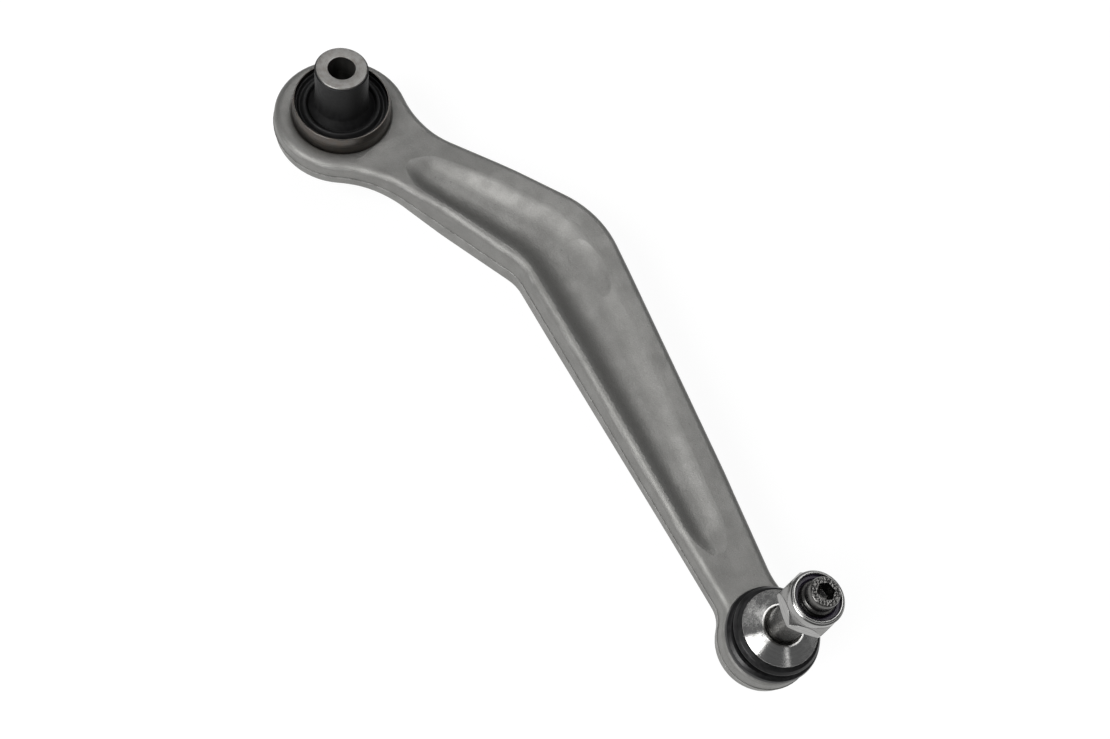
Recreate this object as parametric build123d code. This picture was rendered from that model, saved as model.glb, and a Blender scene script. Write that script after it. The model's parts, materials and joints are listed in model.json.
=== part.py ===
from build123d import *
import os
from math import radians, cos

# Suspension control arm: a bent aluminium forging with a rubber bush pressed into one end and a
# sealed ball joint in the other. Millimetres. The origin is the centre of the bush on the forging's
# parting plane, +Z runs along the bush bore to the side the ball stud points to, and +X runs to the
# centre of the ball. Heights on the ball joint are measured from the ball's centre, which is also on
# the parting plane. The stud and all that it carries are at rest leaning a little towards +Y.

# ---- driving dimensions ----
ARM_LENGTH = 306.0  # bush centre to ball centre
DRAFT = 4.0  # degrees, on every forged wall

# forging
EYE_R = 31.5
EYE_HALF = 7.5  # half the thickness of the eye
EYE_CHAMFER = 1.3
MID_HALF = 11.8  # half the thickness through the bend
NECK_HALF = 8.5  # half the thickness at the ball end
TAPER_R = 90.0  # bend radius where the thickness changes
RIM_FILLET = 3.6
FLASH_PROUD = 0.25  # witness line of the forging flash on the parting plane
FLASH_HALF = 0.35
WEB_HALF = 5.8  # half the thickness left between the two dishes

# the dish in each face: (x, y, height of its bottom, radius) of its round sections
DISH = [
    (42.5, 11.0, 9.2, 1.6),
    (46.5, 12.7, 7.0, 5.6),
    (52.0, 15.0, WEB_HALF, 8.8),
    (86.6, 29.3, WEB_HALF, 13.2),
    (112.0, 37.8, WEB_HALF, 17.4),
    (149.8, 32.5, WEB_HALF, 16.8),
    (185.1, 25.0, WEB_HALF, 14.2),
    (220.0, 16.7, WEB_HALF, 10.3),
    (254.0, 8.9, WEB_HALF, 7.4),
    (259.5, 7.6, 6.6, 4.8),
    (263.2, 6.8, 8.0, 1.4),
]

# ball housing, seat and cover
HOUSING_R = 20.0
BOSS_R = 16.9  # cup below the arm
SPIGOT_R = 16.0
SPIGOT_TOP = 10.4
MOUTH_R = 10.9
MOUTH_CHAMFER = 1.5
BALL_R = 12.0
BALL_GAP = 0.05  # running clearance between ball and seat
SEAT_R = 14.0
SEAT_TOP = 6.7
SEAT_BOTTOM = -13.0
SEAT_HOLE_R = 3.5
COVER_THICK = 1.8
LIP_BOTTOM = -15.8
LIP_R = 15.8
LIP_MOUTH_R = 12.6

# ball stud
STUD_LEAN = 4.0  # degrees towards +Y at rest
NECK_R = 6.8
COLLAR_R = 8.6
COLLAR_BOTTOM = 14.8
COLLAR_TOP = 18.5
SHANK_R = 7.0
THREAD_BOTTOM = 45.5
THREAD_TOP = 60.5
THREAD_PITCH = 1.5
THREAD_DEPTH = 0.6
PILOT_R = 6.2
STUD_TOP = 67.5
TIP_R = 5.4
SOCKET_FLATS = 6.0  # across flats
SOCKET_DEPTH = 7.0

# cone ring
CONE_R = 15.9
CONE_RIM_TOP = 19.2
CONE_SMALL_R = 8.9
CONE_MOUTH_R = 8.2
CONE_TOP = 22.8

# lock nut and its insert
NUT_BOTTOM = 48.0
NUT_HEX_TOP = 55.2
NUT_TOP = 60.4
NUT_FLATS = 22.0  # across flats
NUT_ANGLE = 35.0  # degrees, how far a corner is turned from +X
CROWN_R = 10.9
CROWN_MOUTH_R = 8.9
THREAD_GAP = 0.06  # between the nut's bore and the thread's crests
INSERT_BOTTOM = 55.4
INSERT_TOP = 58.8
INSERT_R = 9.2
INSERT_GAP = 0.08

# bush
SLEEVE_R = 22.8
SLEEVE_WALL = 1.2
SLEEVE_HALF = 16.3
SLEEVE_RIM_R = 22.1
CORE_R = 11.4
CORE_TOP = 40.0
CORE_BOTTOM = -33.0
BOLT_R = 6.1
BOLT_CHAMFER = 0.7
RUBBER_GAP = 0.1
FILM_THICK = 0.6
RUBBER_HALF = 13.6

# dust boot and its rings
BOOT_GAP = 0.15
BOOT_BOTTOM = 8.7
BOOT_R = 19.9
BOOT_WAIST = 14.2
BOOT_TOP = 17.5
BAND_R = 18.7  # inside of the lower ring
BAND_THICK = 0.7
BAND_LOW = 9.6
BAND_HIGH = 10.7
WIRE_R = 0.5
WIRE_RING_R = 11.8
WIRE_Z = 15.8
SLIP_R = 14.0
SLIP_THICK = 0.8
SLIP_TOP = 18.3
SLIP_LEG = 16.4


def half_section(points, rounds=()):
    """Face in the plane Y = 0 from (radius, height) points, with (radius, height, fillet) corners rounded."""
    face = make_face(Polyline(*[(r, 0, z) for r, z in points], close=True))
    for r, z, size in rounds:
        corner = face.vertices().sort_by_distance((r, 0, z))[0]
        face = fillet(corner, size)
    return face


def turned(points, rounds=()):
    """Solid of revolution about Z."""
    return revolve(half_section(points, rounds), Axis.Z)


def at_ball(shape):
    """Places a shape on the housing's axis."""
    return Pos(ARM_LENGTH, 0, 0) * shape


def on_stud(shape):
    """Places a shape on the stud's axis, which leans about the ball's centre."""
    return Pos(ARM_LENGTH, 0, 0) * Rot(-STUD_LEAN, 0, 0) * shape


def rounded(sketch, corners):
    """Rounds each (x, y, radius) corner of a plan sketch."""
    for x, y, size in corners:
        corner = sketch.vertices().sort_by_distance((x, y, 0))[0]
        sketch = fillet(corner, size)
    return sketch


def write(name, shape):
    export_step(shape, f"parts/{name}.step")


# ---- forging ----
def arm_outline():
    """Plan of the forging on its parting plane: eye, bent arm and ball housing."""
    arm = make_face(
        Polyline(
            (5, 16.2),
            (111, 68.7),
            (243, 32.6),
            (300, 15.2),
            (296, -9.4),
            (112.9, 18.7),
            (20, -10.7),
            close=True,
        )
    )
    arm = rounded(arm, [(111, 68.7, 50), (243, 32.6, 150), (112.9, 18.7, 20)])
    eye = Circle(EYE_R)
    housing = Pos(ARM_LENGTH, 0) * Rot(0, 0, 180) * Circle(HOUSING_R)
    outline = eye + arm + housing
    return rounded(
        outline,
        [
            (21.4, 23.3, 50),
            (30.2, -7.7, 55),
            (293, 17.2, 32),
            (287.2, -8.2, 12),
        ],
    )


def side_slab():
    """Block whose height follows the forging: thin at the eye, thick in the bend, thinner at the ball."""
    upper = [
        (-60, EYE_HALF),
        (32, EYE_HALF),
        (70, MID_HALF),
        (142, MID_HALF),
        (250, NECK_HALF),
        (360, NECK_HALF),
    ]
    lower = [(x, -height) for x, height in reversed(upper)]
    profile = half_section(upper + lower)
    bends = [v for v in profile.vertices() if -50 < v.X < 350]
    profile = fillet(bends, TAPER_R)
    return extrude(profile, 90, both=True)


def blank():
    """The forging before its dishes and bores."""
    outline = arm_outline()
    upper = extrude(outline, MID_HALF + 3, taper=DRAFT)
    body = (upper + mirror(upper, about=Plane.XY)) & side_slab()
    rims = body.edges().filter_by(Axis.Y, reverse=True)
    rims = [edge for edge in rims if abs(edge.center().Z) > EYE_HALF - 1]
    body = fillet(rims, RIM_FILLET)
    flash = extrude(offset(outline, FLASH_PROUD), FLASH_HALF, both=True)
    return body + flash


def dish():
    """Cutter for the dished web: a tube of round sections that lie across its own path."""
    path = Spline(*[(x, y, 0) for x, y, bottom, radius in DISH])
    sections = []
    for x, y, bottom, radius in DISH:
        along = path % path.param_at_point((x, y, 0))
        across = Plane(origin=(x, y, bottom + radius), x_dir=(0, 0, 1), z_dir=(along.X, along.Y, 0))
        sections.append(across * Circle(radius))
    return loft(sections)


def eye_bore():
    """Bore for the bush, chamfered at both faces."""
    out_r = SLEEVE_R + EYE_CHAMFER
    start = EYE_HALF - EYE_CHAMFER
    return turned(
        [
            (0, -EYE_HALF - 1),
            (out_r, -EYE_HALF - 1),
            (out_r, -EYE_HALF),
            (SLEEVE_R, -start),
            (SLEEVE_R, start),
            (out_r, EYE_HALF),
            (out_r, EYE_HALF + 1),
            (0, EYE_HALF + 1),
        ]
    )


def housing_cup():
    """Cup below the arm and the spigot that carries the boot."""
    return turned(
        [
            (0, LIP_BOTTOM),
            (LIP_R - 0.6, LIP_BOTTOM),
            (LIP_R, LIP_BOTTOM + 0.8),
            (BOSS_R, -NECK_HALF),
            (BOSS_R, 0),
            (SPIGOT_R, 0),
            (SPIGOT_R, SPIGOT_TOP),
            (0, SPIGOT_TOP),
        ]
    )


def housing_bore():
    """Space for the seat, the ball's neck and the cover, with the rolled lip left standing."""
    cover_bottom = SEAT_BOTTOM - COVER_THICK
    return turned(
        [
            (0, LIP_BOTTOM - 1),
            (LIP_MOUTH_R, LIP_BOTTOM - 1),
            (LIP_MOUTH_R, LIP_BOTTOM + 0.3),
            (LIP_MOUTH_R + 0.5, cover_bottom),
            (SEAT_R, cover_bottom),
            (SEAT_R, SEAT_TOP),
            (MOUTH_R, SEAT_TOP),
            (MOUTH_R, SPIGOT_TOP - MOUTH_CHAMFER),
            (MOUTH_R + MOUTH_CHAMFER, SPIGOT_TOP),
            (MOUTH_R + MOUTH_CHAMFER, SPIGOT_TOP + 1),
            (0, SPIGOT_TOP + 1),
        ]
    )


def arm_forging():
    body = blank() - dish() - mirror(dish(), about=Plane.XY)
    body = body + at_ball(housing_cup())
    return body - at_ball(housing_bore()) - eye_bore()


# ---- bush ----
def bush_outer_sleeve():
    """Thin sleeve, its two rims rolled in a little."""
    inner_r = SLEEVE_R - SLEEVE_WALL
    roll = 3.6
    return turned(
        [
            (inner_r, -SLEEVE_HALF),
            (SLEEVE_RIM_R, -SLEEVE_HALF),
            (SLEEVE_R, -SLEEVE_HALF + roll),
            (SLEEVE_R, SLEEVE_HALF - roll),
            (SLEEVE_RIM_R, SLEEVE_HALF),
            (inner_r, SLEEVE_HALF),
        ],
        [
            (SLEEVE_R, SLEEVE_HALF - roll, 12),
            (SLEEVE_R, -SLEEVE_HALF + roll, 12),
            (SLEEVE_RIM_R, SLEEVE_HALF, 0.3),
            (SLEEVE_RIM_R, -SLEEVE_HALF, 0.3),
        ],
    )


def bush_rubber():
    """Rubber between the sleeves: two rings and two grooves at each end, and a film up the inner sleeve."""
    out_r = SLEEVE_R - SLEEVE_WALL - RUBBER_GAP
    in_r = CORE_R + RUBBER_GAP
    film_r = CORE_R + FILM_THICK
    film_top = CORE_TOP - 0.8
    film_bottom = CORE_BOTTOM + 0.8
    upper = [
        (out_r, RUBBER_HALF),
        (out_r - 1.2, RUBBER_HALF + 0.6),
        (out_r - 2.2, RUBBER_HALF - 1.4),
        (out_r - 4.2, RUBBER_HALF + 1.0),
        (out_r - 6.0, RUBBER_HALF - 1.2),
        (film_r + 1.6, RUBBER_HALF + 1.6),
        (film_r + 0.3, RUBBER_HALF + 7.0),
    ]
    upper_end = [(film_r, film_top), (in_r, film_top)]
    lower_end = [(in_r, film_bottom), (film_r, film_bottom)]
    lower = [(r, -z) for r, z in reversed(upper)]
    return turned(upper + upper_end + lower_end + lower)


def bush_inner_sleeve():
    """Thick sleeve with the bolt bore, chamfered at both ends."""
    outer_r = CORE_R
    return turned(
        [
            (BOLT_R + BOLT_CHAMFER, CORE_BOTTOM),
            (outer_r - 0.4, CORE_BOTTOM),
            (outer_r, CORE_BOTTOM + 0.4),
            (outer_r, CORE_TOP - 0.4),
            (outer_r - 0.4, CORE_TOP),
            (BOLT_R + BOLT_CHAMFER, CORE_TOP),
            (BOLT_R, CORE_TOP - BOLT_CHAMFER),
            (BOLT_R, CORE_BOTTOM + BOLT_CHAMFER),
        ]
    )


# ---- ball joint ----
def ball_seat():
    """Plastic shell round the ball, open at the neck and at the bottom."""
    shell = turned(
        [
            (SEAT_HOLE_R, SEAT_BOTTOM),
            (SEAT_R, SEAT_BOTTOM),
            (SEAT_R, SEAT_TOP),
            (SEAT_HOLE_R, SEAT_TOP),
        ]
    )
    return shell - Sphere(BALL_R + BALL_GAP)


def end_cover():
    """Plate under the seat, dished away from the ball."""
    bottom = SEAT_BOTTOM - COVER_THICK
    return turned(
        [
            (0, bottom),
            (SEAT_R, bottom),
            (SEAT_R, SEAT_BOTTOM),
            (SEAT_R - 3, SEAT_BOTTOM),
            (SEAT_R - 5, SEAT_BOTTOM - 0.6),
            (0, SEAT_BOTTOM - 0.6),
        ]
    )


def thread_points():
    """Ridges of the thread as turned rings, crest to root to crest."""
    turns = round((THREAD_TOP - THREAD_BOTTOM) / THREAD_PITCH)
    points = []
    for turn in range(turns):
        start = THREAD_BOTTOM + turn * THREAD_PITCH
        points.append((SHANK_R, start))
        points.append((SHANK_R - THREAD_DEPTH, start + THREAD_PITCH / 2))
    points.append((SHANK_R, THREAD_BOTTOM + turns * THREAD_PITCH))
    return points


def ball_stud():
    """Ball, waisted neck, collar under the boot, plain shank, thread, pilot and key socket."""
    pin = turned(
        [
            (0, 4),
            (NECK_R, 4),
            (NECK_R, COLLAR_BOTTOM - 1.2),
            (COLLAR_R, COLLAR_BOTTOM),
            (COLLAR_R, COLLAR_TOP),
            (SHANK_R, COLLAR_TOP),
            *thread_points(),
            (PILOT_R, THREAD_TOP + 0.9),
            (PILOT_R, STUD_TOP - 1.6),
            (TIP_R, STUD_TOP),
            (0, STUD_TOP),
        ]
    )
    socket = extrude(RegularPolygon(SOCKET_FLATS / 2, 6, major_radius=False), SOCKET_DEPTH)
    stud = Sphere(BALL_R) + pin
    return stud - Pos(0, 0, STUD_TOP - SOCKET_DEPTH) * socket


def cone_ring():
    """Turned cone that seats in the knuckle, pressed on the shank against the collar."""
    return turned(
        [
            (SHANK_R, COLLAR_TOP),
            (CONE_R - 0.3, COLLAR_TOP),
            (CONE_R, COLLAR_TOP + 0.2),
            (CONE_R, CONE_RIM_TOP),
            (CONE_SMALL_R, CONE_TOP),
            (CONE_MOUTH_R, CONE_TOP),
            (SHANK_R, CONE_TOP - 1.2),
        ]
    )


def lock_nut():
    """Hexagon with chamfered corners and a round crown closed over the locking insert."""
    corner_r = NUT_FLATS / 2 / cos(radians(30))
    hexagon = RegularPolygon(NUT_FLATS / 2, 6, major_radius=False, rotation=NUT_ANGLE)
    prism = Pos(0, 0, NUT_BOTTOM) * extrude(hexagon, NUT_HEX_TOP - NUT_BOTTOM)
    envelope = turned(
        [
            (0, NUT_BOTTOM),
            (NUT_FLATS / 2 - 0.3, NUT_BOTTOM),
            (corner_r, NUT_BOTTOM + 1.0),
            (corner_r, NUT_HEX_TOP - 0.6),
            (NUT_FLATS / 2, NUT_HEX_TOP),
            (0, NUT_HEX_TOP),
        ]
    )
    crown = turned(
        [
            (0, NUT_HEX_TOP - 1),
            (CROWN_R, NUT_HEX_TOP - 1),
            (CROWN_R, NUT_TOP - 1.0),
            (CROWN_R - 0.7, NUT_TOP),
            (0, NUT_TOP),
        ],
        [(CROWN_R, NUT_TOP - 1.0, 0.8), (CROWN_R - 0.7, NUT_TOP, 0.4)],
    )
    bore_r = SHANK_R + THREAD_GAP
    insert_r = INSERT_R + INSERT_GAP
    bore = turned(
        [
            (0, NUT_BOTTOM - 1),
            (bore_r + 1.0, NUT_BOTTOM - 1),
            (bore_r + 1.0, NUT_BOTTOM),
            (bore_r, NUT_BOTTOM + 1.0),
            (bore_r, INSERT_BOTTOM - INSERT_GAP),
            (insert_r, INSERT_BOTTOM - INSERT_GAP),
            (insert_r, INSERT_TOP + INSERT_GAP),
            (CROWN_MOUTH_R, INSERT_TOP + 0.6),
            (CROWN_MOUTH_R + 0.3, NUT_TOP),
            (CROWN_MOUTH_R + 0.3, NUT_TOP + 1),
            (0, NUT_TOP + 1),
        ]
    )
    return (prism & envelope) + crown - bore


def nut_insert_ring():
    """Nylon ring in the crown."""
    bore_r = SHANK_R + THREAD_GAP
    return turned(
        [
            (bore_r, INSERT_BOTTOM),
            (INSERT_R, INSERT_BOTTOM),
            (INSERT_R, INSERT_TOP),
            (bore_r + 0.8, INSERT_TOP),
            (bore_r, INSERT_TOP - 1.2),
        ]
    )


# ---- dust boot ----
def boot_lower_half():
    """Lower lip on the spigot and the wide fold above it."""
    groove_r = BAND_R - BOOT_GAP
    return turned(
        [
            (SPIGOT_R + BOOT_GAP, BOOT_BOTTOM),
            (BOOT_R - 0.8, BOOT_BOTTOM),
            (BOOT_R - 0.5, BAND_LOW - BOOT_GAP),
            (groove_r, BAND_LOW - BOOT_GAP),
            (groove_r, BAND_HIGH + BOOT_GAP),
            (BOOT_R - 0.2, BAND_HIGH + BOOT_GAP),
            (BOOT_R, BAND_HIGH + 1.0),
            (BOOT_R - 0.6, 13.2),
            (BOOT_R - 2.0, BOOT_WAIST),
            (BOOT_R - 3.9, BOOT_WAIST),
            (BOOT_R - 1.8, 12.8),
            (BOOT_R - 1.6, 11.8),
            (SPIGOT_R + BOOT_GAP, 10.9),
        ]
    )


def boot_upper_half():
    """Upper fold and the lip round the slip ring's leg."""
    lip_r = COLLAR_R + SLIP_THICK + 2 * BOOT_GAP + 0.1
    neck_r = WIRE_RING_R - WIRE_R - BOOT_GAP
    return turned(
        [
            (BOOT_R - 3.9, BOOT_WAIST - 0.6),
            (BOOT_R - 2.0, BOOT_WAIST - 0.6),
            (BOOT_R - 1.5, 15.6),
            (BOOT_R - 2.6, 16.8),
            (SLIP_R + 1.6, SLIP_TOP - 0.5),
            (SLIP_R + BOOT_GAP, SLIP_TOP - 0.4),
            (SLIP_R + BOOT_GAP, BOOT_TOP - BOOT_GAP),
            (lip_r, BOOT_TOP - BOOT_GAP),
            (lip_r, WIRE_Z - 0.9),
            (neck_r, WIRE_Z - 0.9),
            (neck_r, BOOT_TOP - 1.0),
            (SLIP_R, BOOT_TOP - 1.2),
            (BOOT_R - 3.8, 15.8),
        ]
    )


def dust_boot():
    """Squat bellows from the housing's spigot to the stud's collar, its upper half leaning with the stud."""
    return at_ball(boot_lower_half()) + on_stud(boot_upper_half())


def boot_lower_ring():
    """Flat band round the lower lip."""
    return turned(
        [
            (BAND_R, BAND_LOW),
            (BAND_R + BAND_THICK, BAND_LOW),
            (BAND_R + BAND_THICK, BAND_HIGH),
            (BAND_R, BAND_HIGH),
        ],
        [(BAND_R + BAND_THICK, BAND_LOW, 0.3), (BAND_R + BAND_THICK, BAND_HIGH, 0.3)],
    )


def boot_upper_ring():
    """Wire ring round the upper lip."""
    return Pos(0, 0, WIRE_Z) * Torus(WIRE_RING_R, WIRE_R)


def boot_slip_ring():
    """Angle ring that lets the upper lip turn on the stud's collar."""
    leg_r = COLLAR_R + 0.08
    return turned(
        [
            (leg_r, SLIP_LEG),
            (leg_r + SLIP_THICK, SLIP_LEG),
            (leg_r + SLIP_THICK, SLIP_TOP - SLIP_THICK),
            (SLIP_R, SLIP_TOP - SLIP_THICK),
            (SLIP_R, SLIP_TOP),
            (leg_r, SLIP_TOP),
        ]
    )


os.makedirs("parts", exist_ok=True)
write("arm_forging", arm_forging())
write("bush_outer_sleeve", bush_outer_sleeve())
write("bush_rubber", bush_rubber())
write("bush_inner_sleeve", bush_inner_sleeve())
write("ball_seat", at_ball(ball_seat()))
write("end_cover", at_ball(end_cover()))
write("ball_stud", on_stud(ball_stud()))
write("cone_ring", on_stud(cone_ring()))
write("lock_nut", on_stud(lock_nut()))
write("nut_insert_ring", on_stud(nut_insert_ring()))
write("dust_boot", dust_boot())
write("boot_lower_ring", at_ball(boot_lower_ring()))
write("boot_upper_ring", on_stud(boot_upper_ring()))
write("boot_slip_ring", on_stud(boot_slip_ring()))
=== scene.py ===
import bmesh
import bpy
import json
import math
from mathutils import Matrix, Vector, kdtree, noise


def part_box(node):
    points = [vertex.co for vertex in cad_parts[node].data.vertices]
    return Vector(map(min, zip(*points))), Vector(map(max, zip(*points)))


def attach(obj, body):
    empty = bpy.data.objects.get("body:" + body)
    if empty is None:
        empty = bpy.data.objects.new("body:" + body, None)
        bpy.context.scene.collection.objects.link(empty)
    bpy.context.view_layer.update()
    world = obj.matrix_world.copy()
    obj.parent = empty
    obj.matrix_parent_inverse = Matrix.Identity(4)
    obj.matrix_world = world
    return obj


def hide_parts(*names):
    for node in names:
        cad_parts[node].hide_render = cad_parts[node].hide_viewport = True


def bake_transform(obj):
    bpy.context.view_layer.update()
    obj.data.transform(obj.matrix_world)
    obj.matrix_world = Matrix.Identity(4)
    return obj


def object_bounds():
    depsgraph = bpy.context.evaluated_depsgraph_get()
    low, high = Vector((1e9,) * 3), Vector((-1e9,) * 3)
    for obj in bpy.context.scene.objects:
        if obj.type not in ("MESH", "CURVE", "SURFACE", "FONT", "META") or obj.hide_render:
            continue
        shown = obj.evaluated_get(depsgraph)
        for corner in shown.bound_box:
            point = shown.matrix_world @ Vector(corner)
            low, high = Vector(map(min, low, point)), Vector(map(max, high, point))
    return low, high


# Looks for a forged suspension arm with a rubber bush and a ball joint. The frame's objects are in
# metres. Outlines of turned pieces are (radius, height) in millimetres on their own axis.

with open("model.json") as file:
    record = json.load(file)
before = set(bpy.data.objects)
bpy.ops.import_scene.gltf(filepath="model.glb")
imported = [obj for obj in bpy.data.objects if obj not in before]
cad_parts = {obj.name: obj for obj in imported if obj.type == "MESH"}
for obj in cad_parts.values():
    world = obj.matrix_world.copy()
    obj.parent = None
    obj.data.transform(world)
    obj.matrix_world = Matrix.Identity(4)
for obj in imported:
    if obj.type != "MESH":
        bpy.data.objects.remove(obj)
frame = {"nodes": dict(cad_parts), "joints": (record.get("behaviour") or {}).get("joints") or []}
cad_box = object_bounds()

MM = 0.001
joints = {joint["name"]: joint for joint in frame["joints"]}
ball_centre = Vector(joints["ball_tilt_x"]["pos_m"])
stud_axis = Vector(joints["stud_spin"]["axis"])
AT_BUSH = Matrix.Identity(4)
AT_BALL = Matrix.Translation(ball_centre)
LEAN = math.atan2(stud_axis.y, stud_axis.z)
ON_STUD = AT_BALL @ Matrix.Rotation(-LEAN, 4, "X")


# ---- meshes ----
def rounded(points, steps=6):
    """Outline from (radius, height, fillet) corners, with an arc where the fillet isn't 0."""
    outline = []
    for i, (r, z, fillet) in enumerate(points):
        corner = Vector((r, z))
        if fillet == 0:
            outline.append(corner)
            continue
        before = (Vector(points[i - 1][:2]) - corner).normalized()
        after = (Vector(points[(i + 1) % len(points)][:2]) - corner).normalized()
        half = before.angle(after) / 2
        centre = corner + (before + after).normalized() * fillet / math.sin(half)
        start = corner + before * fillet / math.tan(half) - centre
        end = corner + after * fillet / math.tan(half) - centre
        sweep = start.angle_signed(end)
        for k in range(steps + 1):
            turn = Matrix.Rotation(-sweep * k / steps, 2)
            outline.append(centre + turn @ start)
    return outline


def circle_row(r, z):
    return lambda angle: (r, z)


def revolved(name, rows, segments=180, place=AT_BUSH, sharp=32, closed=True):
    """Mesh from rows round the Z axis. A row gives (radius, height) for an angle.

    closed joins the last row to the first.
    """
    mesh = bmesh.new()
    rings = []
    for row in rows:
        ring = []
        for k in range(segments):
            angle = 2 * math.pi * k / segments
            r, z = row(angle)
            ring.append(mesh.verts.new((r * math.cos(angle) * MM, r * math.sin(angle) * MM, z * MM)))
        rings.append(ring)
    pairs = list(zip(rings, rings[1:]))
    if closed:
        pairs.append((rings[-1], rings[0]))
    for low, high in pairs:
        for k in range(segments):
            n = (k + 1) % segments
            mesh.faces.new((low[k], low[n], high[n], high[k]))
    bmesh.ops.remove_doubles(mesh, verts=mesh.verts, dist=1e-7)
    bmesh.ops.recalc_face_normals(mesh, faces=mesh.faces)
    data = bpy.data.meshes.new(name)
    mesh.to_mesh(data)
    mesh.free()
    data.shade_smooth()
    data.set_sharp_from_angle(angle=math.radians(sharp))
    piece = bpy.data.objects.new(name, data)
    bpy.context.scene.collection.objects.link(piece)
    piece.matrix_world = place
    return piece


def turned(name, points, place=AT_BUSH, sharp=32, steps=6):
    """Closed turned piece from (radius, height, fillet) corners."""
    rows = [circle_row(r, z) for r, z in rounded(points, steps)]
    return revolved(name, rows, place=place, sharp=sharp)


def dress(piece, material):
    """Gives a piece one material."""
    piece.data.materials.clear()
    piece.data.materials.append(material)


# ---- material nodes ----
def new_material(name, colour, metallic, roughness):
    material = bpy.data.materials.new(name)
    material.use_nodes = True
    tree = material.node_tree
    shader = tree.nodes["Principled BSDF"]
    shader.inputs["Base Color"].default_value = (*colour, 1)
    shader.inputs["Metallic"].default_value = metallic
    shader.inputs["Roughness"].default_value = roughness
    return material, tree, shader


def add(tree, kind, **settings):
    node = tree.nodes.new(kind)
    for key, value in settings.items():
        setattr(node, key, value)
    return node


def feed(tree, source, target):
    """Links an output, or sets a number or colour, on an input."""
    if isinstance(source, bpy.types.NodeSocket):
        tree.links.new(source, target)
    else:
        target.default_value = source


def local_mm(tree, place=AT_BUSH, stretch=(1, 1, 1)):
    """Position in millimetres in the axes of place, with each axis multiplied by stretch."""
    coords = add(tree, "ShaderNodeTexCoord").outputs["Object"]
    inverse = place.inverted()
    turn = add(tree, "ShaderNodeMapping", vector_type="POINT")
    turn.inputs["Location"].default_value = inverse.translation
    turn.inputs["Rotation"].default_value = inverse.to_euler()
    feed(tree, coords, turn.inputs["Vector"])
    scale = add(tree, "ShaderNodeVectorMath", operation="MULTIPLY")
    feed(tree, turn.outputs["Vector"], scale.inputs[0])
    scale.inputs[1].default_value = [s / MM for s in stretch]
    return scale.outputs["Vector"]


def math_node(tree, operation, a, b=0.0, c=0.0, clamp=False):
    node = add(tree, "ShaderNodeMath", operation=operation, use_clamp=clamp)
    for value, socket in zip((a, b, c), node.inputs):
        feed(tree, value, socket)
    return node.outputs["Value"]


def noise_node(tree, vector, scale, detail=4.0, rough=0.6, distortion=0.0):
    """Noise whose grains are 1 / scale millimetres."""
    node = add(tree, "ShaderNodeTexNoise")
    feed(tree, vector, node.inputs["Vector"])
    node.inputs["Scale"].default_value = scale
    node.inputs["Detail"].default_value = detail
    node.inputs["Roughness"].default_value = rough
    node.inputs["Distortion"].default_value = distortion
    return node.outputs["Fac"]


def remap(tree, value, low, high, to_low=0.0, to_high=1.0, kind="SMOOTHSTEP"):
    node = add(tree, "ShaderNodeMapRange", interpolation_type=kind)
    for key, number in (("From Min", low), ("From Max", high), ("To Min", to_low), ("To Max", to_high)):
        node.inputs[key].default_value = number
    feed(tree, value, node.inputs["Value"])
    return node.outputs["Result"]


def mix(tree, factor, a, b):
    node = add(tree, "ShaderNodeMix", data_type="RGBA")
    feed(tree, factor, node.inputs["Factor"])
    for colour, key in ((a, "A"), (b, "B")):
        socket = [s for s in node.inputs if s.name == key and s.type == "RGBA"][0]
        feed(tree, (*colour, 1) if isinstance(colour, tuple) else colour, socket)
    return [s for s in node.outputs if s.type == "RGBA"][0]


def bump(tree, height, depth_mm, normal=None, strength=1.0):
    node = add(tree, "ShaderNodeBump")
    node.inputs["Strength"].default_value = strength
    node.inputs["Distance"].default_value = depth_mm * MM
    feed(tree, height, node.inputs["Height"])
    if normal is not None:
        feed(tree, normal, node.inputs["Normal"])
    return node.outputs["Normal"]


def around(tree, vector):
    """Radius and height of a position in millimetres, and its distance round the axis in radians."""
    parts = add(tree, "ShaderNodeSeparateXYZ")
    feed(tree, vector, parts.inputs["Vector"])
    x, y, z = (parts.outputs[k] for k in "XYZ")
    squares = math_node(tree, "ADD", math_node(tree, "MULTIPLY", x, x), math_node(tree, "MULTIPLY", y, y))
    return math_node(tree, "SQRT", squares), z, math_node(tree, "ARCTAN2", y, x)


def rings(tree, vector, per_mm, detail=3.0):
    """Turning marks: noise that changes with radius and height and hardly at all round the axis."""
    radius, height, _ = around(tree, vector)
    join = add(tree, "ShaderNodeCombineXYZ")
    feed(tree, radius, join.inputs["X"])
    feed(tree, height, join.inputs["Y"])
    return noise_node(tree, join.outputs["Vector"], per_mm, detail=detail, rough=0.7)


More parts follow.
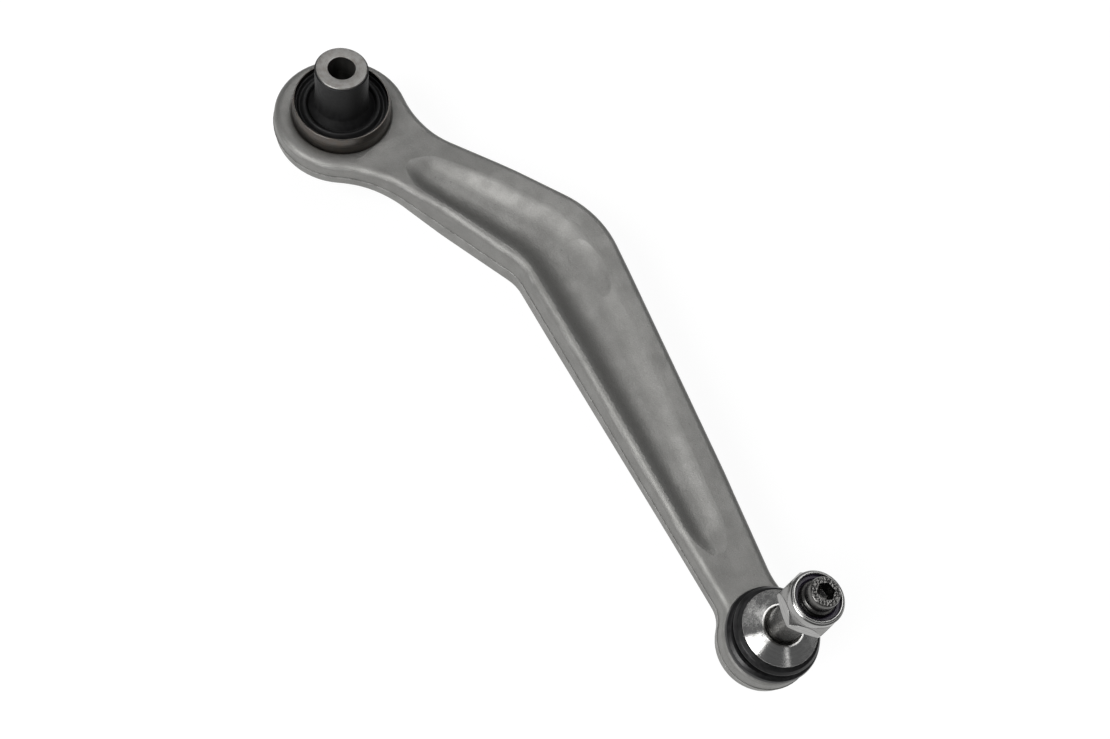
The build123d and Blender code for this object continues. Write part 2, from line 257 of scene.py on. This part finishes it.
# ---- materials ----
def forged_aluminium():
    material, tree, shader = new_material("forged_aluminium", (0.2, 0.198, 0.19), 0.8, 0.5)
    where = local_mm(tree)
    grain = noise_node(tree, where, 1.9, detail=3, rough=0.75)
    pits = noise_node(tree, where, 0.8, detail=2, rough=0.5)
    mottle = noise_node(tree, where, 0.1, detail=4, rough=0.55)
    tone = mix(tree, remap(tree, mottle, 0.3, 0.7), (0.196, 0.194, 0.186), (0.222, 0.22, 0.211))
    tone = mix(tree, remap(tree, grain, 0.52, 0.72, 0.0, 0.4), tone, (0.31, 0.307, 0.297))
    tone = mix(tree, remap(tree, grain, 0.45, 0.28, 0.0, 0.45), tone, (0.12, 0.118, 0.113))
    tone = mix(tree, remap(tree, pits, 0.3, 0.2, 0.0, 0.6), tone, (0.09, 0.088, 0.084))
    # Rounded edges, found as faces tilted between flat and steep, are lightened and made glossier: partly
    # edge wear, partly painted highlight.
    facing = add(tree, "ShaderNodeSeparateXYZ")
    feed(tree, add(tree, "ShaderNodeTexCoord").outputs["Normal"], facing.inputs["Vector"])
    steep = math_node(tree, "ABSOLUTE", facing.outputs["Z"])
    edge_wear_and_highlight = math_node(tree, "MULTIPLY", remap(tree, steep, 0.3, 0.5), remap(tree, steep, 0.75, 0.55))
    edge_wear_and_highlight = math_node(tree, "MULTIPLY", edge_wear_and_highlight, remap(tree, noise_node(tree, where, 0.06, detail=5), 0.46, 0.66))
    # Painted highlight: a light line along the parting line at mid height, where the flash catches the light.
    height = add(tree, "ShaderNodeSeparateXYZ")
    feed(tree, where, height.inputs["Vector"])
    parting_line_highlight = remap(tree, math_node(tree, "ABSOLUTE", height.outputs["Z"]), 0.6, 0.3)
    parting_line_highlight = math_node(tree, "MULTIPLY", parting_line_highlight, remap(tree, noise_node(tree, where, 0.2), 0.35, 0.6))
    edge_wear_and_highlight = math_node(tree, "MAXIMUM", edge_wear_and_highlight, parting_line_highlight)
    # The edge and parting-line mask lightens the base colour here: partly wear, partly painted highlight.
    tone = mix(tree, math_node(tree, "MULTIPLY", edge_wear_and_highlight, 0.35), tone, (0.5, 0.495, 0.48))
    feed(tree, tone, shader.inputs["Base Color"])
    rough = remap(tree, mottle, 0.3, 0.7, 0.56, 0.49)
    edge_wear_and_highlight_gloss = math_node(tree, "MULTIPLY", edge_wear_and_highlight, 0.1)
    feed(tree, math_node(tree, "SUBTRACT", rough, edge_wear_and_highlight_gloss), shader.inputs["Roughness"])
    swell = bump(tree, mottle, 0.2)
    feed(tree, bump(tree, grain, 0.12, normal=swell), shader.inputs["Normal"])
    return material


def satin_steel(name, dark, light, roughness, ring_scale=6.0, depth=0.02, brushed=0.0, stain=0.0):
    """Turned or drawn bare steel. Its marks and its brushed gloss run round the piece's own Z axis."""
    material, tree, shader = new_material(name, light, 1.0, roughness)
    where = local_mm(tree)
    marks = rings(tree, where, ring_scale)
    cloud = noise_node(tree, where, 0.4, detail=4)
    tone = mix(tree, remap(tree, marks, 0.3, 0.7), dark, light)
    tone = mix(tree, remap(tree, cloud, 0.4, 0.7, 0.0, stain), tone, (0.13, 0.1, 0.078))
    feed(tree, tone, shader.inputs["Base Color"])
    feed(tree, remap(tree, cloud, 0.3, 0.7, roughness - 0.04, roughness + 0.06), shader.inputs["Roughness"])
    feed(tree, bump(tree, marks, depth), shader.inputs["Normal"])
    if brushed:
        shader.inputs["Anisotropic"].default_value = brushed
        shader.inputs["Anisotropic Rotation"].default_value = 0.25
        tangent = add(tree, "ShaderNodeTangent", direction_type="RADIAL", axis="Z")
        feed(tree, tangent.outputs["Tangent"], shader.inputs["Tangent"])
    return material


def moulded_rubber(name, tone, roughness, grain_depth):
    material, tree, shader = new_material(name, tone, 0.0, roughness)
    shader.inputs["Specular IOR Level"].default_value = 0.3
    where = local_mm(tree)
    dust = noise_node(tree, where, 0.5, detail=5, rough=0.65)
    grain = noise_node(tree, where, 3.5, detail=3)
    lighter = tuple(c * 1.9 for c in tone)
    feed(tree, mix(tree, remap(tree, dust, 0.4, 0.75), tone, lighter), shader.inputs["Base Color"])
    feed(tree, remap(tree, dust, 0.3, 0.7, roughness - 0.06, roughness + 0.1), shader.inputs["Roughness"])
    feed(tree, bump(tree, grain, grain_depth), shader.inputs["Normal"])
    return material


def plain_plastic(name, tone, roughness):
    material, tree, shader = new_material(name, tone, 0.0, roughness)
    where = local_mm(tree)
    cloud = noise_node(tree, where, 0.6, detail=4)
    darker = tuple(c * 0.75 for c in tone)
    feed(tree, mix(tree, remap(tree, cloud, 0.35, 0.7), darker, tone), shader.inputs["Base Color"])
    feed(tree, remap(tree, cloud, 0.3, 0.7, roughness - 0.05, roughness + 0.08), shader.inputs["Roughness"])
    feed(tree, bump(tree, noise_node(tree, where, 4.0), 0.015), shader.inputs["Normal"])
    return material


aluminium = forged_aluminium()
sleeve_steel = satin_steel("sleeve_steel", (0.07, 0.065, 0.06), (0.14, 0.132, 0.124), 0.32, stain=0.35)
core_steel = satin_steel(
    "core_steel", (0.17, 0.167, 0.16), (0.24, 0.237, 0.23), 0.42, ring_scale=3.0, stain=0.3
)
turned_steel = satin_steel(
    "turned_steel", (0.5, 0.495, 0.485), (0.6, 0.595, 0.58), 0.2, 1.6, 0.002, brushed=0.8
)
stud_steel = satin_steel("stud_steel", (0.08, 0.078, 0.075), (0.16, 0.157, 0.152), 0.27)
zinc_steel = satin_steel(
    "zinc_steel", (0.24, 0.238, 0.233), (0.34, 0.337, 0.33), 0.2, ring_scale=1.2, depth=0.004
)
cover_steel = satin_steel("cover_steel", (0.22, 0.22, 0.215), (0.32, 0.318, 0.31), 0.4)
black_steel = satin_steel("black_steel", (0.012, 0.012, 0.012), (0.03, 0.03, 0.03), 0.4)
bush_rubber = moulded_rubber("bush_rubber", (0.003, 0.003, 0.0032), 0.55, 0.03)
boot_rubber = moulded_rubber("boot_rubber", (0.005, 0.005, 0.0053), 0.34, 0.012)
seat_plastic = plain_plastic("seat_plastic", (0.7, 0.67, 0.6), 0.4)
insert_nylon = plain_plastic("insert_nylon", (0.018, 0.013, 0.026), 0.3)


# ---- arm ----
# The forging's two dishes are cut again into a copy of the CAD mesh, a little deeper and with soft lips.
DISH_PATH = [  # (x, y, height of its bottom, radius of its round section)
    (42.5, 11.0, 8.3, 6.5), (46.5, 12.7, 7.0, 8.0), (52.0, 15.0, 5.8, 9.6), (86.6, 29.3, 5.8, 13.2),
    (112.0, 37.8, 5.8, 17.4), (149.8, 32.5, 5.8, 16.8), (185.1, 25.0, 5.8, 14.2),
    (220.0, 16.7, 5.8, 10.3), (254.0, 8.9, 5.8, 7.6), (259.5, 7.6, 6.6, 6.4), (263.2, 6.8, 7.8, 5.6)]
# (x, height of the arm's top face)
RIM_PATH = [(-60, 7.5), (32, 7.5), (70, 11.8), (142, 11.8), (250, 8.5), (360, 8.5)]
DISH_EXTRA = 0.5
LIP_WIDTH = 1.4
LIP_SLOPE = math.tan(math.radians(8))
LIP_SOFT = 2.4
LIP_FADE = 2.0  # depth below which the lip narrows, towards the dish's ends
CUTTER_TOP = 18.0
CUTTER_STEP = 0.8
CUTTER_ROUNDS = 20  # rounds of averaging, each over a grid step


def rim_height(x):
    for (x0, z0), (x1, z1) in zip(RIM_PATH, RIM_PATH[1:]):
        if x0 <= x <= x1:
            return z0 + (z1 - z0) * (x - x0) / (x1 - x0)
    return RIM_PATH[-1][1]


def smooth_path(points, steps):
    """Points of a curve through the given ones, which may carry any number of values."""
    vectors = [Vector(p) for p in points]
    vectors = [2 * vectors[0] - vectors[1]] + vectors + [2 * vectors[-1] - vectors[-2]]
    run = []
    for a, b, c, d in zip(vectors, vectors[1:], vectors[2:], vectors[3:]):
        for k in range(steps):
            t = k / steps
            square = (2 * a - 5 * b + 4 * c - d) * t * t
            cube = (3 * b - a - 3 * c + d) * t ** 3
            run.append(0.5 * (2 * b + (c - a) * t + square + cube))
    return run + [vectors[-2]]


def dish_height(x, y, path, tree):
    """Height of the cut at a place: the round section of the nearest part of the path.

    Its edge is blended into a soft lip.
    """
    _, index, _ = tree.find((x, y, 0))
    place = Vector((x, y))
    best = None
    for k in (max(index, 1), min(index + 1, len(path) - 1)):
        start, end = path[k - 1], path[k]
        run = (end - start).xy
        share = min(1, max(0, (place - start.xy).dot(run) / run.length_squared))
        spot = start.lerp(end, share)
        away = (place - spot.xy).length
        if best is None or away < best[0]:
            best = (away, spot)
    away, spot = best
    bottom, radius = spot.z - DISH_EXTRA, spot.w + DISH_EXTRA
    top = rim_height(x)
    depth = top - bottom
    half = math.sqrt(max(0, radius ** 2 - (radius - depth) ** 2)) if depth > 0 else depth
    if away < radius:
        bowl = bottom + radius - math.sqrt(radius ** 2 - away ** 2)
    else:
        bowl = bottom + radius + 3 * (away - radius)
    fade = min(1, max(0, depth / LIP_FADE))
    lip = top + (away - half - LIP_WIDTH * fade) * LIP_SLOPE
    soft = LIP_SOFT * fade + 0.1
    blend = max(0, soft - abs(bowl - lip)) / soft
    return min(CUTTER_TOP - 1, min(bowl, lip) - blend ** 2 * soft / 4)


def dish_grid():
    """Places and heights of the cut on a grid, averaged with their neighbours so that no crease is left."""
    path = smooth_path(DISH_PATH, 10)
    tree = kdtree.KDTree(len(path))
    for index, point in enumerate(path):
        tree.insert((point.x, point.y, 0), index)
    tree.balance()
    columns = [36 + CUTTER_STEP * i for i in range(295)]
    lines = [-8 + CUTTER_STEP * j for j in range(90)]
    heights = [[dish_height(x, y, path, tree) for y in lines] for x in columns]
    for _ in range(CUTTER_ROUNDS):
        last = [row[:] for row in heights]
        for i in range(1, len(columns) - 1):
            before, row, after = last[i - 1], last[i], last[i + 1]
            for j in range(1, len(lines) - 1):
                heights[i][j] = 0.5 * row[j] + 0.125 * (before[j] + after[j] + row[j - 1] + row[j + 1])
    return columns, lines, heights


def dish_cutter(side, columns, lines, heights):
    """Closed block over the arm whose underside is the dish. side is 1 above the arm and -1 below it."""
    mesh = bmesh.new()
    low, high = [], []
    for x, row in zip(columns, heights):
        low.append([mesh.verts.new((x * MM, y * MM, side * z * MM)) for y, z in zip(lines, row)])
        high.append([mesh.verts.new((x * MM, y * MM, side * CUTTER_TOP * MM)) for y in lines])
    for grid in (low, high):
        for i in range(len(columns) - 1):
            for j in range(len(lines) - 1):
                mesh.faces.new((grid[i][j], grid[i + 1][j], grid[i + 1][j + 1], grid[i][j + 1]))
    border = [edge for edge in mesh.edges if edge.is_boundary]
    bmesh.ops.bridge_loops(mesh, edges=border)
    bmesh.ops.recalc_face_normals(mesh, faces=mesh.faces)
    data = bpy.data.meshes.new("dish_cutter")
    mesh.to_mesh(data)
    mesh.free()
    cutter = bpy.data.objects.new("dish_cutter", data)
    bpy.context.scene.collection.objects.link(cutter)
    return cutter


def settled(piece):
    """Puts a piece's modifiers into its mesh."""
    state = piece.evaluated_get(bpy.context.evaluated_depsgraph_get())
    data = bpy.data.meshes.new_from_object(state)
    piece.modifiers.clear()
    piece.data = data


def arm_body():
    mesh = bmesh.new()
    mesh.from_mesh(frame["nodes"]["arm_forging"].data)
    bmesh.ops.remove_doubles(mesh, verts=mesh.verts, dist=1e-7)
    data = bpy.data.meshes.new("arm_body")
    mesh.to_mesh(data)
    mesh.free()
    piece = bpy.data.objects.new("arm_body", data)
    bpy.context.scene.collection.objects.link(piece)
    grid = dish_grid()
    cutters = [dish_cutter(1, *grid), dish_cutter(-1, *grid)]
    for cutter in cutters:
        cut = piece.modifiers.new("cut", "BOOLEAN")
        cut.operation = "DIFFERENCE"
        cut.solver = "EXACT"
        cut.object = cutter
    settled(piece)
    for cutter in cutters:
        bpy.data.objects.remove(cutter)
    piece.data.shade_smooth()
    piece.data.set_sharp_from_angle(angle=math.radians(28))
    even = piece.modifiers.new("even", "WEIGHTED_NORMAL")
    even.keep_sharp = True
    settled(piece)
    return piece


# ---- bush ----
# The rubber is cut on a sphere about the bush's centre, so the outer part tilts with the arm and
# neither opens a gap nor cuts into the inner part.
CUT_R = 20.0
CUT_GAP = 0.12


def sphere_run(radius, low, high, steps=20):
    """Points of a sphere about the centre, from one height to another."""
    heights = [low + (high - low) * k / steps for k in range(steps + 1)]
    return [(math.sqrt(radius * radius - z * z), z, 0) for z in heights]


def bush_rubber_inner():
    film_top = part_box("bush_inner_sleeve")[1].z / MM - 0.7
    film_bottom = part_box("bush_inner_sleeve")[0].z / MM + 0.7
    upper = [
        (11.55, film_top, 0),
        (12.0, film_top - 0.3, 0.2),
        (12.05, 22.0, 0),
        (12.6, 17.5, 3.0),
        (14.1, 14.9, 0.9),
        (15.0, 13.1, 0.3),
    ]
    lower = [(r, -z, fillet) for r, z, fillet in reversed(upper[2:])]
    lower += [(12.0, film_bottom + 0.3, 0.2), (11.55, film_bottom, 0)]
    run = sphere_run(CUT_R, 12.9, -12.9)
    return turned("bush_rubber_inner", upper + run + lower, sharp=50)


def bush_rubber_outer():
    upper = [
        (21.5, 13.9, 0.25),
        (20.6, 14.2, 0.4),
        (19.7, 12.4, 0.5),
        (18.9, 12.6, 0.5),
        (17.6, 14.9, 0.9),
        (16.2, 14.4, 0.7),
        (15.5, 12.8, 0.2),
    ]
    lower = [(r, -z, fillet) for r, z, fillet in reversed(upper)]
    run = sphere_run(CUT_R + CUT_GAP, 12.6, -12.6)
    return turned("bush_rubber_outer", upper + run + lower, sharp=50)


def inner_sleeve():
    """Sleeve round the bolt, its ends faced flat and only lightly chamfered."""
    bore, outer = 6.1, 11.4
    low, high = (corner.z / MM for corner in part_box("bush_inner_sleeve"))
    return turned(
        "inner_sleeve",
        [
            (bore, low, 0.25),
            (outer - 0.3, low, 0.1),
            (outer, low + 0.3, 0.1),
            (outer, high - 0.3, 0.1),
            (outer - 0.3, high, 0.1),
            (bore, high, 0.25),
        ],
    )


# ---- stud and nut ----
SOCKET_HALF = 3.0  # half across flats
THREAD_START, THREAD_END, THREAD_PITCH, THREAD_DEPTH = 45.5, 60.5, 1.5, 0.6
SHANK_R, PILOT_R, TIP_R, STUD_TOP = 7.0, 6.2, 5.5, 67.5


def hexagon(angle, half_flats):
    """Distance from the centre to the side of a hexagon with a corner at angle 0."""
    sixth = math.pi / 3
    return half_flats / math.cos(angle % sixth - sixth / 2)


def thread_row(z):
    """Helical thread of a 60 degree form with rounded crests, fading out at both ends."""
    fade = min(1, (z - THREAD_START) / THREAD_PITCH, (THREAD_END - z) / THREAD_PITCH)

    def row(angle):
        phase = (z / THREAD_PITCH - angle / (2 * math.pi)) % 1
        ridge = abs(2 * phase - 1)
        depth = THREAD_DEPTH * max(0, fade) * min(1, max(0, 1.15 * ridge - 0.1))
        return SHANK_R - depth, z

    return row


def rough_end_row(share):
    """Row of the broken-looking end face, from its rim (0) to the socket's mouth (1)."""

    def row(angle):
        mouth = hexagon(angle, SOCKET_HALF + 0.25)
        r = TIP_R + (mouth - TIP_R) * share
        place = Vector((math.cos(angle) * r, math.sin(angle) * r, 0)) * 1.4
        rise = noise.noise(place) * 0.3 + noise.noise(place * 3) * 0.12
        return r, STUD_TOP - 0.25 + rise * math.sin(math.pi * min(1, 0.15 + share * 0.85))

    return row


def stud_rows():
    ball_r = 12.0
    steps = 28
    neck_angle = math.acos(6.8 / ball_r)
    rows = []
    for k in range(steps + 1):
        turn = -math.pi / 2 + (math.pi / 2 + neck_angle) * k / steps
        rows.append(circle_row(max(1e-6, ball_r * math.cos(turn)), ball_r * math.sin(turn)))
    collar = [(6.8, 13.6), (8.3, 14.6), (8.6, 14.9), (8.6, 18.3), (8.4, 18.5)]
    collar += [(SHANK_R, 18.5), (SHANK_R, THREAD_START - 0.4)]
    rows += [circle_row(r, z) for r, z in collar]
    per_turn = 12
    turns = round((THREAD_END - THREAD_START) / THREAD_PITCH)
    for k in range(turns * per_turn + 1):
        rows.append(thread_row(THREAD_START + k * THREAD_PITCH / per_turn))
    tip = [(SHANK_R - 0.1, 60.7), (PILOT_R, 61.5), (PILOT_R, 65.2), (6.05, 66.3), (5.8, 67.0), (TIP_R, 67.25)]
    rows += [circle_row(r, z) for r, z in tip]
    rows += [rough_end_row(k / 8) for k in range(1, 9)]
    rows.append(lambda angle: (hexagon(angle, SOCKET_HALF), STUD_TOP - 0.9))
    rows.append(lambda angle: (hexagon(angle, SOCKET_HALF), STUD_TOP - 7))
    rows.append(lambda angle: (hexagon(angle, SOCKET_HALF - 0.6), STUD_TOP - 7.3))
    rows.append(circle_row(1e-6, STUD_TOP - 7.8))
    return rows


NUT_TURN = math.radians(35)  # how far a corner is turned
NUT_LOW, NUT_SHOULDER, NUT_TOP, NUT_HALF = 48.0, 55.2, 60.4, 11.0
EDGE = 0.12  # rounding between the nut's flats and its chamfers


def hex_row(inset, z, toward, chamfer_from, slope):
    """End of the nut's flats, cut by a cone that starts at chamfer_from.

    The cone's slope is its drop over its width.
    """

    def row(angle):
        side = min(hexagon(angle - NUT_TURN, NUT_HALF), NUT_HALF / math.cos(math.pi / 6) - EDGE)
        drop = max(0, side - chamfer_from) * slope
        return side - inset, z + toward * (drop + EDGE - inset)

    return row


def nut_rows():
    inside = [(9.28, 58.95), (9.28, 55.3), (7.1, 55.3), (7.06, 55.0), (7.06, 49.0), (8.1, NUT_LOW)]
    rows = [circle_row(r, z) for r, z in inside]
    rows.append(circle_row(NUT_HALF - 0.5, NUT_LOW))
    rows.append(hex_row(EDGE, NUT_LOW, 1, NUT_HALF - 0.4, 0.55))
    rows.append(hex_row(0.0, NUT_LOW, 1, NUT_HALF - 0.4, 0.55))
    rows.append(hex_row(0.0, NUT_SHOULDER, -1, NUT_HALF - 0.1, 2.0))
    rows.append(hex_row(EDGE, NUT_SHOULDER, -1, NUT_HALF - 0.1, 2.0))
    crown = rounded(
        [
            (10.84, NUT_SHOULDER + 0.1, 0.1),
            (10.84, 59.3, 0.8),
            (10.2, 59.75, 0.12),
            (10.05, NUT_TOP, 0.4),
            (9.05, NUT_TOP, 0.4),
            (8.95, 59.5, 0.1),
        ]
    )
    rows += [circle_row(r, z) for r, z in crown]
    return rows


def cone():
    return turned(
        "cone_seat",
        [
            (7.02, 18.52, 0),
            (15.6, 18.52, 0.1),
            (15.9, 18.8, 0.12),
            (15.9, 19.2, 0.15),
            (8.95, 22.8, 0.12),
            (8.2, 22.8, 0.1),
            (7.05, 21.6, 0),
        ],
        place=ON_STUD,
    )


# ---- dust boot ----
def boot_lower():
    return turned(
        "boot_lower",
        [
            (16.15, 8.8, 0),
            (19.2, 8.8, 0.25),
            (19.3, 9.5, 0.1),
            (18.6, 9.5, 0.1),
            (18.6, 10.85, 0.1),
            (19.5, 10.85, 0.25),
            (19.9, 11.7, 0.5),
            (19.5, 13.2, 0.6),
            (18.2, 14.2, 0.3),
            (16.0, 14.2, 0.2),
            (17.9, 12.8, 0.5),
            (18.2, 11.8, 0.3),
            (16.15, 10.9, 0.2),
        ],
        place=AT_BALL,
        sharp=60,
    )


def boot_upper():
    return turned(
        "boot_upper",
        [
            (16.0, 13.7, 0.2),
            (17.9, 13.7, 0.3),
            (18.5, 15.4, 0.8),
            (17.4, 17.0, 0.6),
            (15.7, 17.8, 0.3),
            (14.2, 17.8, 0.1),
            (14.2, 17.3, 0),
            (9.85, 17.3, 0.1),
            (9.85, 14.9, 0.2),
            (11.1, 14.9, 0.2),
            (11.1, 16.5, 0.2),
            (14.0, 16.3, 0.3),
            (16.0, 15.6, 0.3),
        ],
        place=ON_STUD,
        sharp=60,
    )


# ---- put together ----
nodes = frame["nodes"]
dress(nodes["bush_outer_sleeve"], sleeve_steel)
dress(nodes["ball_seat"], seat_plastic)
dress(nodes["end_cover"], cover_steel)
for ring_name in ("boot_lower_ring", "boot_upper_ring", "boot_slip_ring"):
    dress(nodes[ring_name], black_steel)
dress(nodes["nut_insert_ring"], insert_nylon)

arm = arm_body()
dress(arm, aluminium)
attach(arm, "arm")
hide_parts("arm_forging")

core = inner_sleeve()
dress(core, core_steel)
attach(core, "bush_core")
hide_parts("bush_inner_sleeve")

rubber_inner = bush_rubber_inner()
rubber_outer = bush_rubber_outer()
for piece, body in ((rubber_inner, "bush_middle"), (rubber_outer, "arm")):
    dress(piece, bush_rubber)
    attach(piece, body)
    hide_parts("bush_rubber")

stud = revolved("ball_pin", stud_rows(), place=ON_STUD, closed=False)
dress(stud, stud_steel)
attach(stud, "stud")
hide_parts("ball_stud")

cone_seat = cone()
dress(cone_seat, turned_steel)
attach(cone_seat, "stud")
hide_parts("cone_ring")

nut = revolved("locking_nut", nut_rows(), segments=360, place=ON_STUD)
dress(nut, zinc_steel)
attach(nut, "nut")
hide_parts("lock_nut")

lower = boot_lower()
upper = boot_upper()
for piece, low_body, high_body, low, high in (
    (lower, "arm", "boot", 10.9, 13.9),
    (upper, "boot", "boot_top", 13.9, 17.0),
):
    dress(piece, boot_rubber)
    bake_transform(piece)
    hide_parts("dust_boot")


# ---- camera, light and floor ----
# The camera looks down on the arm from the bend's inner side, close enough for strong perspective.
CAMERA_PLACE = Vector((0.30313, -0.20575, 0.51671))
CAMERA_LOOK = Vector((-0.24972, 0.36452, -0.89709)).normalized()
CAMERA_UP = Vector((-0.75038, 0.51271, 0.41721))
LENS, SENSOR = 42.16, 36.0

side = CAMERA_LOOK.cross(CAMERA_UP).normalized()
up = side.cross(CAMERA_LOOK)
camera = bpy.data.objects.new("camera", bpy.data.cameras.new("camera"))
bpy.context.scene.collection.objects.link(camera)
camera_turn = Matrix((side, up, -CAMERA_LOOK)).transposed().to_4x4()
camera.matrix_world = Matrix.Translation(CAMERA_PLACE) @ camera_turn
camera.data.lens = LENS
camera.data.sensor_width = SENSOR
camera.data.clip_start = 0.01
bpy.context.scene.camera = camera
bpy.context.scene.view_settings.view_transform = "Standard"

middle = (cad_box[0] + cad_box[1]) / 2


def softbox(name, right, above, toward, width, height, watts, tint=(1, 1, 1)):
    """Area light placed from the middle of the arm along the camera's axes, in metres, and aimed at it."""
    light = bpy.data.lights.new(name, "AREA")
    light.shape = "RECTANGLE"
    light.size = width
    light.size_y = height
    light.energy = watts
    light.color = tint
    lamp = bpy.data.objects.new(name, light)
    bpy.context.scene.collection.objects.link(lamp)
    place = middle + side * right + up * above - CAMERA_LOOK * toward
    aim = (middle - place).to_track_quat("-Z", "Y").to_matrix().to_4x4()
    lamp.matrix_world = Matrix.Translation(place) @ aim


softbox("key", -0.58, -0.12, 1.04, 0.7, 0.7, 14.5)
softbox("top", 0.34, 0.98, 0.8, 1.0, 0.7, 7.5)
softbox("glint", 0.75, -0.4, 1.0, 0.1, 0.4, 0.15)

world = bpy.data.worlds.new("studio")
world.use_nodes = True
world.node_tree.nodes["Background"].inputs["Color"].default_value = (0.82, 0.83, 0.85, 1)
world.node_tree.nodes["Background"].inputs["Strength"].default_value = 0.16
bpy.context.scene.world = world


def make_floor():
    """Pale board under the lowest point of the arm."""
    half = 3.0
    level = cad_box[0].z - 0.0004
    data = bpy.data.meshes.new("floor")
    floor_corners = [(-half, -half, level), (half, -half, level), (half, half, level), (-half, half, level)]
    data.from_pydata(floor_corners, [], [(0, 1, 2, 3)])
    material, tree, shader = new_material("floor_white", (0.12, 0.12, 0.12), 0.0, 0.8)
    shader.inputs["Emission Color"].default_value = (1, 1, 1, 1)
    shader.inputs["Emission Strength"].default_value = 0.9
    cloud = noise_node(tree, local_mm(tree), 0.02)
    feed(tree, mix(tree, cloud, (0.115, 0.115, 0.115), (0.125, 0.125, 0.125)), shader.inputs["Base Color"])
    data.materials.append(material)
    board = bpy.data.objects.new("floor", data)
    bpy.context.scene.collection.objects.link(board)


make_floor()
